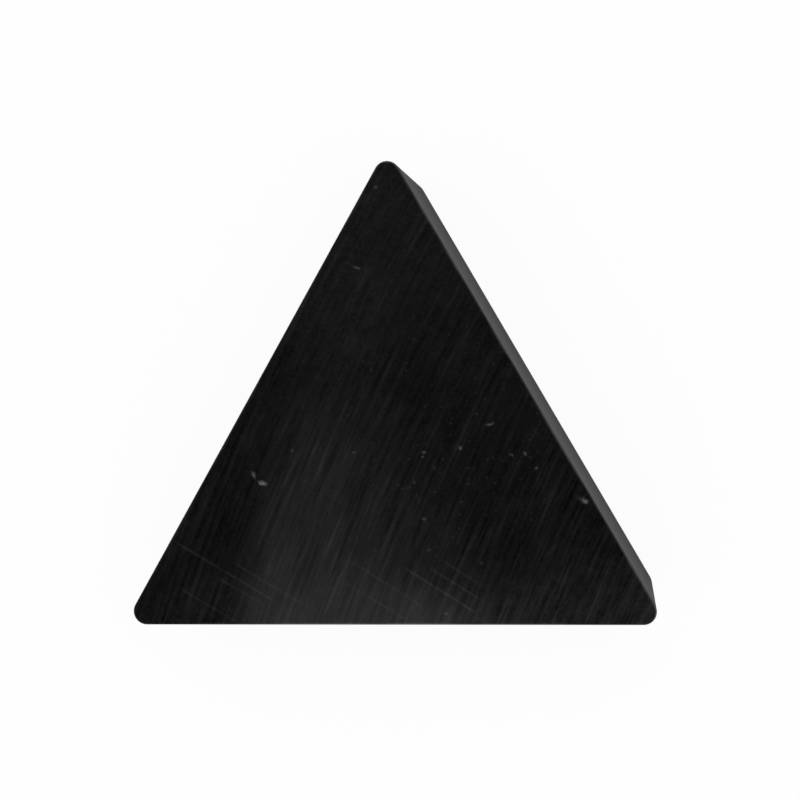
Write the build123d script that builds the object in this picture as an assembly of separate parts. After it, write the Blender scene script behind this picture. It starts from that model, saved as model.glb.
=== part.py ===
from build123d import *

import os
from math import radians, tan

# Plain triangular cutting insert: one piece of tungsten carbide, pressed, sintered and ground.
# It has no hole and no chip groove. It lies on its smaller face, the seat, at Z = 0, with the
# rake face on top. The origin is the middle of the inscribed circle, one nose points along +Y
# and the opposite cutting edge runs along X. All lengths are in millimetres.

inscribed_circle = 9.525  # diameter of the circle that touches the three cutting edges
thickness = 3.97          # from the seat face to the rake face
clearance_angle = 7.0     # degrees that each flank leans in below its cutting edge
nose_radius = 0.4         # corner radius, the same at the rake face and at the seat face
edge_hone = 0.04          # radius brushed onto the cutting edges
seat_edge_break = 0.05    # radius left round the seat face by deburring


def rounded_triangle(inradius, corner_radius):
    """A flat triangle that stands on one side, given by its inscribed circle and corners."""
    triangle = RegularPolygon(inradius, 3, major_radius=False, rotation=90)
    return fillet(triangle.vertices(), corner_radius).face()


def ground_wall(rake_edge, seat_edge):
    """A flat flank between two straight edges, or a leaning round nose between two arcs."""
    if rake_edge.geom_type == GeomType.LINE:
        corners = [rake_edge @ 0, rake_edge @ 1, seat_edge @ 1, seat_edge @ 0]
        return Face(Wire.make_polygon(corners))
    return Face.make_surface_from_curves(rake_edge, seat_edge)


def ground_blank():
    """The insert with sharp edges: rake face, seat face, three flanks and three noses."""
    rake_inradius = inscribed_circle / 2
    seat_inradius = rake_inradius - thickness * tan(radians(clearance_angle))
    rake_face = Pos(0, 0, thickness) * rounded_triangle(rake_inradius, nose_radius)
    seat_face = rounded_triangle(seat_inradius, nose_radius)
    rake_edges = rake_face.outer_wire().order_edges()
    seat_edges = seat_face.outer_wire().order_edges()
    walls = [ground_wall(rake, seat) for rake, seat in zip(rake_edges, seat_edges)]
    return Solid(Shell([rake_face, seat_face, *walls]))


def finished_edges(blank):
    """Hones the edge all round the rake face and breaks the edge all round the seat face."""
    rake_face = blank.faces().sort_by(Axis.Z)[-1]
    honed = fillet(rake_face.edges(), edge_hone)
    seat_face = honed.faces().sort_by(Axis.Z)[0]
    return fillet(seat_face.edges(), seat_edge_break)


insert_body = finished_edges(ground_blank())

os.makedirs("parts", exist_ok=True)
export_step(insert_body, "parts/insert_body.step")
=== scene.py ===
import math

import bmesh
import bpy
from mathutils import Euler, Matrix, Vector


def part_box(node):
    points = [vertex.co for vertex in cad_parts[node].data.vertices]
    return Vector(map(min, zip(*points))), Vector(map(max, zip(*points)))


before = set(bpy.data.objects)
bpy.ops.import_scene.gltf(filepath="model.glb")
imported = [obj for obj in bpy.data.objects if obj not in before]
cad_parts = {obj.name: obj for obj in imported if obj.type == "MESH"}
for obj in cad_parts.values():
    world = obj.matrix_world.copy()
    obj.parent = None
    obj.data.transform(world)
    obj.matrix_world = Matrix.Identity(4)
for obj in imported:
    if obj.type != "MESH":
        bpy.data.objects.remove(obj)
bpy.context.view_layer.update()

# ---- the insert ----
# One solid piece of tungsten carbide, pressed, sintered and then ground on every face. The flat
# faces keep the arcs that the grinding wheel left, the flanks keep fine lines along the cutting
# edges, and handling has added a few crossing scratches and small chips. A pale band of painted
# reflection lies across the rake face.
MM = 0.001
insert_low, insert_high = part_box("insert_body")
thickness = insert_high.z / MM             # mm, from the seat face to the rake face
edge_distance = -insert_low.y / MM         # mm, from the middle out to each cutting edge

carbide = bpy.data.materials.new("ground_tungsten_carbide")
carbide.use_nodes = True
node_tree = carbide.node_tree              # the tree of the material in hand


def feed(node, feeds):
    """Sets sockets of a node, or links them where the value is another node's output."""
    for name, value in dict(feeds).items():
        if isinstance(value, bpy.types.NodeSocket):
            node_tree.links.new(value, node.inputs[name])
        else:
            node.inputs[name].default_value = value


def put(kind, feeds, **choices):
    """Adds a node to the tree in hand, makes its choices and feeds its sockets."""
    made = node_tree.nodes.new(kind)
    for name, choice in choices.items():
        setattr(made, name, choice)
    feed(made, feeds)
    return made


def reckon(operation, *values):
    """One sum on numbers."""
    return put("ShaderNodeMath", enumerate(values), operation=operation).outputs[0]


def total(*values):
    """All the values added up."""
    result = values[0]
    for value in values[1:]:
        result = reckon("ADD", result, value)
    return result


def product(*values):
    """All the values multiplied."""
    result = values[0]
    for value in values[1:]:
        result = reckon("MULTIPLY", result, value)
    return result


def blend(*weighed):
    """Patterns added up, each times the weight that stands with it."""
    return total(*[product(pattern, weight) for pattern, weight in weighed])


def climb(value, start, end, low=0.0, high=1.0):
    """Goes smoothly from low to high while the value goes from start to end."""
    feeds = {"Value": value, "From Min": start, "From Max": end, "To Min": low, "To Max": high}
    return put("ShaderNodeMapRange", feeds, interpolation_type="SMOOTHSTEP").outputs[0]


def axes(vector):
    """The X, Y and Z of a vector."""
    return put("ShaderNodeSeparateXYZ", {"Vector": vector}).outputs


noise_mean = 0.5


def spread(where, size, detail=2.0):
    """Soft random variation round zero, with patches of that size in mm along each axis."""
    scaled = put("ShaderNodeMapping", {"Vector": where, "Scale": [1 / length for length in size]})
    feeds = {"Vector": scaled.outputs[0], "Scale": 1.0, "Detail": detail}
    pattern = put("ShaderNodeTexNoise", feeds)
    return reckon("SUBTRACT", pattern.outputs["Fac"], noise_mean)


def on_face(point):
    """A point of the rake face, given by its X and Y in mm."""
    return (*point, thickness)


def away_from(point):
    """Distance in mm from a point of the rake face."""
    feeds = {0: place, 1: on_face(point)}
    return put("ShaderNodeVectorMath", feeds, operation="DISTANCE").outputs["Value"]


# the place on the insert in mm, and how far up the surface faces, from -1 to 1
coordinates = put("ShaderNodeTexCoord", {}).outputs
place = put("ShaderNodeMapping", {"Vector": coordinates["Object"], "Scale": [1 / MM] * 3}).outputs[0]
across, along, height = axes(place)
facing = axes(coordinates["Normal"])["Z"]

# masks for the two flat faces, the flanks and the brushed cutting edge
on_rake = climb(facing, start=0.90, end=0.99)
on_seat = climb(facing, start=-0.90, end=-0.99)
on_flat = total(on_rake, on_seat)
on_flank = product(climb(facing, start=0.30, end=0.0), reckon("SUBTRACT", 1.0, on_seat))
on_hone = product(climb(facing, start=0.05, end=0.5), climb(facing, start=0.999, end=0.95))

# distance from the middle towards each cutting edge, and in from the nearest one
side_angle = math.radians(30)              # the upper edges face 30 degrees above the X axis
towards_bottom = product(along, -1.0)
sideways_share = product(across, math.cos(side_angle))
upward_share = product(along, math.sin(side_angle))
towards_right = total(upward_share, sideways_share)
towards_left = reckon("SUBTRACT", upward_share, sideways_share)
furthest_out = reckon("MAXIMUM", towards_bottom, reckon("MAXIMUM", towards_right, towards_left))
from_edge = reckon("SUBTRACT", edge_distance, furthest_out)

# arcs of the face-grinding wheel, as distance from the wheel's middle and length round its rim
wheel_centre = (70.7, -33.0)               # mm from the middle of the insert
wheel_offset = (-wheel_centre[0], -wheel_centre[1], 0)
from_wheel = put("ShaderNodeMapping", {"Vector": place, "Location": wheel_offset})
wheel_x, wheel_y, _ = axes(from_wheel.outputs[0])
wheel_distance = reckon("SQRT", total(product(wheel_x, wheel_x), product(wheel_y, wheel_y)))
rim_length = product(reckon("ARCTAN2", wheel_y, wheel_x), math.hypot(*wheel_centre))
wheel_feeds = {"X": wheel_distance, "Y": rim_length, "Z": height}
wheel_place = put("ShaderNodeCombineXYZ", wheel_feeds).outputs[0]

# their width, length and depth in mm: broad bands, the plain arcs, hair lines, and the shine's own
wide_arcs = spread(wheel_place, (0.50, 6.0, 1.0))
main_arcs = spread(wheel_place, (0.13, 2.6, 1.0), detail=1.0)
fine_arcs = spread(wheel_place, (0.075, 1.0, 1.0), detail=1.0)
shine_arcs = spread(wheel_place, (0.06, 14.0, 1.0))
bright_arcs = climb(main_arcs, start=0.08, end=0.28)
cut_arcs = blend((main_arcs, 0.98), (fine_arcs, 0.5), (bright_arcs, 0.24))
wide_arcs_share = 0.2
arc_balance = -0.03                        # keeps the mean of the arcs at zero
arcs = total(cut_arcs, product(wide_arcs, wide_arcs_share), arc_balance)
lower_arcs_strength = climb(along, start=7.8, end=-4.0, low=0.75, high=1.55)
edge_arcs_strength = climb(from_edge, start=1.6, end=0.2, high=0.2)
arc_strength = total(lower_arcs_strength, edge_arcs_strength)

# the grain of the carbide, and clouds from handling
fine_grain = spread(place, [0.085] * 3, detail=0.0)
coarse_grain = spread(place, [0.3] * 3)
grain = blend((fine_grain, 0.63), (coarse_grain, 0.45))
clouds = blend((spread(place, [2.4] * 3), 0.35), (spread(place, [0.6] * 3), 0.5))

# the flanks' grinding lines run along the cutting edges and are thin from top to bottom
flank_lines = blend(
    (spread(place, (12.0, 12.0, 0.06), detail=3.0), 0.8),
    (spread(place, (8.0, 8.0, 0.022), detail=1.0), 0.7),
    (spread(place, (3.0, 3.0, 0.50)), 0.3),
)

# tone of the rake face: nearly black, a little lighter at the top nose, and lighter along the bottom by
# a painted reflection
face_black = 0.0069
top_lift = climb(along, start=3.0, end=8.8, high=0.0024)
# painted reflection: the bottom of the rake face is lit up, more so towards the right
bottom_reflection_across = climb(across, start=-4.0, end=6.5, low=0.0014, high=0.0060)
bottom_reflection_lift = product(climb(along, start=-2.2, end=-4.6), bottom_reflection_across)
pale_patch = climb(away_from((-1.2, 4.6)), start=2.6, end=0.0, high=0.0026)
dark_patch = climb(away_from((0.5, 2.4)), start=1.9, end=0.0, high=-0.0014)
plain_tone_and_reflection = total(face_black, top_lift, bottom_reflection_lift, pale_patch, dark_patch)
face_variation = total(1.0, product(arcs, arc_strength), grain)
face_tone = product(plain_tone_and_reflection, total(1.0, clouds), face_variation)

# painted reflection: a pale band of reflected light on the rake face, widest at the bottom edge, with a
# sharp left side and a slow fade to the right
reflection_band_lightness = 0.0070
reflection_band_start = -3.5                         # mm across, where its left side passes the middle
reflection_band_lean = 0.25                          # mm to the right for each mm up
reflection_band_loss = 0.19                          # how fast it gets thinner, for each mm up
reflection_band_left = total(reflection_band_start, product(along, reflection_band_lean))
reflection_band_side = reckon("SUBTRACT", across, reflection_band_left)
reflection_band_fade_start = climb(along, start=-4.7, end=-2.7, low=5.4, high=0.9)
reflection_band_fade_end = climb(along, start=-4.7, end=2.5, low=8.8, high=4.6)
reflection_band_sides = product(
    climb(reflection_band_side, start=-0.8, end=0.75),
    climb(reflection_band_side, start=reflection_band_fade_end, end=reflection_band_fade_start),
)
reflection_band_thinning = reckon("EXPONENT", product(along, -reflection_band_loss))
reflection_band_thinning = product(reflection_band_thinning, climb(along, start=4.8, end=0.2))
reflection_band_lines = product(arcs, climb(along, start=-4.6, end=-2.0, low=0.3, high=1.3))
reflection_band = product(reflection_band_sides, reflection_band_thinning, total(1.0, reflection_band_lines))
reflection_band_tone = product(reflection_band, reflection_band_lightness)

# light scratches that cross the arcs, from sliding over grit, and two short hair marks
scratch_lightness = 0.0120
scratch_half_width = 0.058                 # mm
scratch_taper_start = 0.8                  # of the half length, where the end begins to fade
scratch_runs = [                           # start and end in mm, strength
    ((-6.76, -2.20), (-3.50, -4.13), 0.85),
    ((-6.60, -3.62), (-4.70, -4.74), 0.55),
    ((-5.40, -3.34), (-3.96, -4.14), 0.58),
    ((-4.90, -2.88), (-2.75, -4.16), 0.60),
    ((-1.36, -2.82), (0.90, -4.22), 0.70),
    ((-1.58, -3.43), (0.48, -4.68), 0.60),
    ((0.26, -3.00), (2.56, -4.45), 1.20),
    ((1.06, -3.03), (2.68, -4.04), 0.90),
    ((1.48, -2.82), (2.98, -3.79), 0.45),
    ((-1.34, 6.12), (-0.97, 5.92), 0.60),
    ((0.24, -0.70), (0.60, -0.62), 0.55),
]
scratches = 0.0
for start, end, strength in scratch_runs:
    middle = (Vector(start) + Vector(end)) / 2
    run = Vector(end) - Vector(start)
    half_length = run.length / 2
    feeds = {"Vector": place, "Location": (*middle, 0), "Rotation": (0, 0, math.atan2(run.y, run.x))}
    lengthways, sideways, _ = axes(put("ShaderNodeMapping", feeds, vector_type="TEXTURE").outputs[0])
    width_fade = climb(reckon("ABSOLUTE", sideways), scratch_half_width, 0.0, high=strength)
    end_fade = climb(reckon("ABSOLUTE", lengthways), half_length, half_length * scratch_taper_start)
    scratches = reckon("MAXIMUM", scratches, product(width_fade, end_fade))
scratch_breaks = climb(spread(place, [0.5] * 3), start=-0.12, end=0.10, low=0.6)
scratch_tone = product(scratches, scratch_breaks, scratch_lightness)

# chips and specks broke out unevenly, so their outlines are ragged
raggedness = 0.14                          # mm, for the full swing of the noise
ragged_noise = put("ShaderNodeTexNoise", {"Vector": place, "Scale": 9.0, "Detail": 2.0}).outputs["Color"]
ragged_swing = put("ShaderNodeVectorMath", {0: ragged_noise, 1: [noise_mean] * 3}, operation="SUBTRACT")
ragged_feeds = {0: ragged_swing.outputs[0], 1: [raggedness] * 3, 2: place}
ragged_place = put("ShaderNodeVectorMath", ragged_feeds, operation="MULTIPLY_ADD").outputs[0]

# the chips that show as single bright points
chip_lightness = 0.115
chip_middle, chip_rim = 0.1, 1.5           # of the half sizes, where a chip is full and where it ends
chip_marks = [                             # middle, half length, half width in mm, turn, brightness
    ((-4.20, -0.27), 0.11, 0.055, 115, 0.50),
    ((-3.94, -0.52), 0.12, 0.07, -15, 1.00),
    ((3.01, 1.24), 0.11, 0.05, 20, 0.45),
    ((2.09, 0.54), 0.06, 0.06, 0, 0.42),
    ((4.06, 0.37), 0.05, 0.06, 0, 0.38),
    ((3.63, 0.33), 0.07, 0.04, 0, 0.30),
    ((4.37, -0.07), 0.04, 0.06, 0, 0.32),
    ((0.97, 0.40), 0.06, 0.04, 0, 0.35),
    ((0.94, 0.28), 0.05, 0.04, 0, 0.33),
    ((0.67, -0.50), 0.04, 0.05, 0, 0.25),
    ((0.95, -1.58), 0.06, 0.05, 0, 0.25),
    ((-1.14, 0.41), 0.07, 0.04, 0, 0.28),
    ((-3.02, 0.46), 0.05, 0.05, 0, 0.25),
    ((-0.94, 5.92), 0.10, 0.04, -15, 0.32),
    ((-0.35, 8.34), 0.06, 0.06, 0, 0.25),
    ((5.84, -1.06), 0.09, 0.055, -20, 0.75),
    ((5.76, -1.01), 0.17, 0.09, -15, 0.16),
    ((1.08, -2.52), 0.07, 0.06, 0, 0.14),
    ((2.67, -2.91), 0.07, 0.05, 0, 0.14),
    ((1.56, -4.42), 0.07, 0.05, 0, 0.22),
]
chips = 0.0
for middle, half_length, half_width, turn, brightness in chip_marks:
    feeds = {
        "Vector": ragged_place,
        "Location": on_face(middle),
        "Rotation": (0, 0, math.radians(turn)),
        "Scale": (half_length, half_width, 1.0),
    }
    local = put("ShaderNodeMapping", feeds, vector_type="TEXTURE").outputs[0]
    out = put("ShaderNodeVectorMath", {0: local}, operation="LENGTH").outputs["Value"]
    chips = total(chips, climb(out, chip_rim, chip_middle, high=brightness))
chip_tone = product(chips, chip_lightness)

# a scatter of tiny specks round the middle, one or none to a cell, each with its own brightness
speck_lightness = 0.015
specks_per_mm = 3.8
speck_middle = (1.6, 1.0)                  # mm, where they lie closest
speck_feeds = {"Vector": ragged_place, "Scale": specks_per_mm}
speck_cells = put("ShaderNodeTexVoronoi", speck_feeds, voronoi_dimensions="2D").outputs
speck_draws = put("ShaderNodeSeparateColor", {"Color": speck_cells["Color"]}).outputs
speck_size = climb(speck_draws["Red"], start=0.1, end=1.0, high=0.20)
speck_dots = climb(reckon("SUBTRACT", speck_cells["Distance"], speck_size), start=0.0, end=-0.17)
specks = product(speck_dots, climb(away_from(speck_middle), start=5.6, end=1.5))
speck_tone = product(specks, speck_draws["Green"], speck_lightness)

# the brushed cutting edge is paler where it has been rubbed, and a painted highlight lies along the
# bottom edge, where light catches the hone
brushed_grey = 0.020
rub_patches = climb(spread(place, [1.4] * 3, detail=4.0), start=-0.10, end=0.14)
bottom_middle = climb(reckon("ABSOLUTE", across), start=7.0, end=1.5)
# painted highlight along the middle of the bottom cutting edge and the rim of the rake face beside it
bottom_edge_highlight = product(bottom_middle, climb(towards_bottom, start=4.6, end=4.72))
hone_rub_and_highlight = blend((rub_patches, 0.020), (bottom_edge_highlight, 0.075))
hone_tone = product(on_hone, total(brushed_grey, hone_rub_and_highlight))
rim_rub_and_highlight = blend((rub_patches, 0.008), (product(bottom_edge_highlight, rub_patches), 0.016))
wear_and_highlight_tone = product(rim_rub_and_highlight, climb(from_edge, start=0.11, end=0.02))

# the flanks are a plain dark grey, with painted shade darkening them towards the seat
flank_grey_and_shade = climb(height, start=0.0, end=thickness, low=0.018, high=0.032)
flank_variation = total(1.0, blend((flank_lines, 0.85), (clouds, 0.4)))
flank_tone = product(flank_grey_and_shade, flank_variation)

# the seat face is nearly as black as the rake face, with arcs of even strength and no marks
seat_lift = 1.2                            # times the black of the rake face
seat_arc_strength = 1.4
seat_variation = total(seat_lift, clouds, product(arcs, seat_arc_strength), grain)
seat_tone = product(face_black, seat_variation)

rake_tone = total(face_tone, reflection_band_tone, scratch_tone, chip_tone, speck_tone, wear_and_highlight_tone)
least_tone = 0.0015
tone = reckon("MAXIMUM", least_tone, total(
    product(rake_tone, on_rake),
    product(seat_tone, on_seat),
    product(flank_tone, on_flank),
    hone_tone,
))
colour = put("ShaderNodeCombineColor", {"Red": tone, "Green": tone, "Blue": tone}).outputs[0]

# the ground lines and the clouds break the gloss, and chips, specks and the band of painted reflection
# dull it
plain_roughness = 0.30
marks = reckon("MINIMUM", total(chips, specks), 1.0)
roughness = total(plain_roughness, blend(
    (product(arcs, on_flat), 0.16),
    (product(flank_lines, on_flank), 0.12),
    (clouds, 0.05),
    (product(marks, on_rake), 0.2),
    (product(reflection_band, on_rake), 0.02),
))

# the lines stand up a little, and the chips are hollows
line_depth = 0.0025 * MM
chip_depth = -2.0                          # times the depth of a line
relief = total(
    product(cut_arcs, on_flat),
    product(flank_lines, on_flank),
    product(chips, on_rake, chip_depth),
)
bumps = put("ShaderNodeBump", {"Height": relief, "Strength": 1.0, "Distance": line_depth}).outputs[0]

# the faces shine more than the flanks, whose shine drops towards the seat as painted shade, and the
# lines break the shine
plain_face_shine = 0.75
hone_shine = 0.25
shine_breaks = blend((shine_arcs, 0.55), (arcs, 0.12), (clouds, 0.3), (chips, -0.4))
face_shine = total(plain_face_shine, shine_breaks)
flank_shine = climb(height, start=0.0, end=thickness, low=0.15, high=0.21)
flank_shine = product(flank_shine, total(1.0, product(flank_lines, 0.3)))
shine = blend((face_shine, on_flat), (flank_shine, on_flank), (on_hone, hone_shine))

feed(node_tree.nodes["Principled BSDF"], {
    "Base Color": colour,
    "Roughness": roughness,
    "Metallic": reckon("MINIMUM", shine, 1.0),
    "Specular IOR Level": 0.0,
    "Normal": bumps,
})
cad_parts["insert_body"].material_slots[0].material = carbide

# ---- the table ----
# A plain white matt board that the insert lies on. It is much wider than the insert, and its
# own white is lifted a little where it is looked at, with the insert's soft shadow kept.
board_half_width = 0.5
board_mesh = bpy.data.meshes.new("white_board")
board_shape = bmesh.new()
bmesh.ops.create_grid(board_shape, x_segments=1, y_segments=1, size=board_half_width)
board_shape.to_mesh(board_mesh)
board_shape.free()
board = bpy.data.objects.new("white_board", board_mesh)
bpy.context.scene.collection.objects.link(board)

pure_white = (1.0, 1.0, 1.0, 1.0)
board_white = (0.95, 0.95, 0.95, 1.0)
board_lift = 0.93                          # how much of what the eye sees is pure white

board_paint = bpy.data.materials.new("white_board")
board_paint.use_nodes = True
node_tree = board_paint.node_tree
matt_paint = node_tree.nodes["Principled BSDF"]
feed(matt_paint, {"Base Color": board_white, "Roughness": 0.9, "Specular IOR Level": 0.0})
glow = put("ShaderNodeEmission", {"Color": pure_white, "Strength": 1.0})
rays = put("ShaderNodeLightPath", {}).outputs
mirrored = reckon("MAXIMUM", rays["Is Glossy Ray"], rays["Is Transmission Ray"])
seen = reckon("MAXIMUM", rays["Is Camera Ray"], mirrored)
mix_feeds = {"Fac": product(seen, board_lift), 1: matt_paint.outputs[0], 2: glow.outputs[0]}
mix = put("ShaderNodeMixShader", mix_feeds)
feed(node_tree.nodes["Material Output"], {"Surface": mix.outputs[0]})
board_mesh.materials.append(board_paint)

# ---- the light ----
# A white room and one large soft lamp above the camera's side, so that the shadow stays faint
# and falls behind the insert.
room = bpy.data.worlds.new("white_room")
room.use_nodes = True
room_light = room.node_tree.nodes["Background"].inputs
room_light["Color"].default_value = pure_white
room_light["Strength"].default_value = 0.85
bpy.context.scene.world = room

lamp_place = Vector((0.22, 0.06, 0.50))
lamp_data = bpy.data.lights.new("soft_lamp", "AREA")
lamp_data.shape = "SQUARE"
lamp_data.size = 0.30
lamp_data.energy = 0.45
lamp = bpy.data.objects.new("soft_lamp", lamp_data)
lamp.location = lamp_place
lamp.rotation_euler = (-lamp_place).to_track_quat("-Z", "Y").to_euler()
bpy.context.scene.collection.objects.link(lamp)

# ---- the camera ----
# The insert lies on its seat face, so the camera looks down on it. It leans a little towards
# one long edge, where a thin strip of that flank comes into view, and keeps one nose on top.
camera_lean = (-4.90, 10.84, -1.00)        # degrees about X, Y and Z
camera_distance = 500.0                    # mm from the middle of the rake face
camera_frame_width = 23.849                # mm across the view at that distance
camera_sensor = 8.0                        # mm
camera_offset = (0.244, 1.968)             # mm, to the camera's own right and up

camera_data = bpy.data.cameras.new("camera")
camera_data.sensor_width = camera_sensor
camera_data.lens = camera_sensor * camera_distance / camera_frame_width
camera_data.clip_start = 0.01
camera_data.clip_end = 10.0
camera = bpy.data.objects.new("camera", camera_data)
lean = Euler([math.radians(angle) for angle in camera_lean])
rake_middle = Vector((0, 0, insert_high.z))
camera.rotation_euler = lean
camera.location = rake_middle + lean.to_matrix() @ Vector((*camera_offset, camera_distance)) * MM
bpy.context.scene.collection.objects.link(camera)
bpy.context.scene.camera = camera
bpy.context.scene.view_settings.view_transform = "Standard"
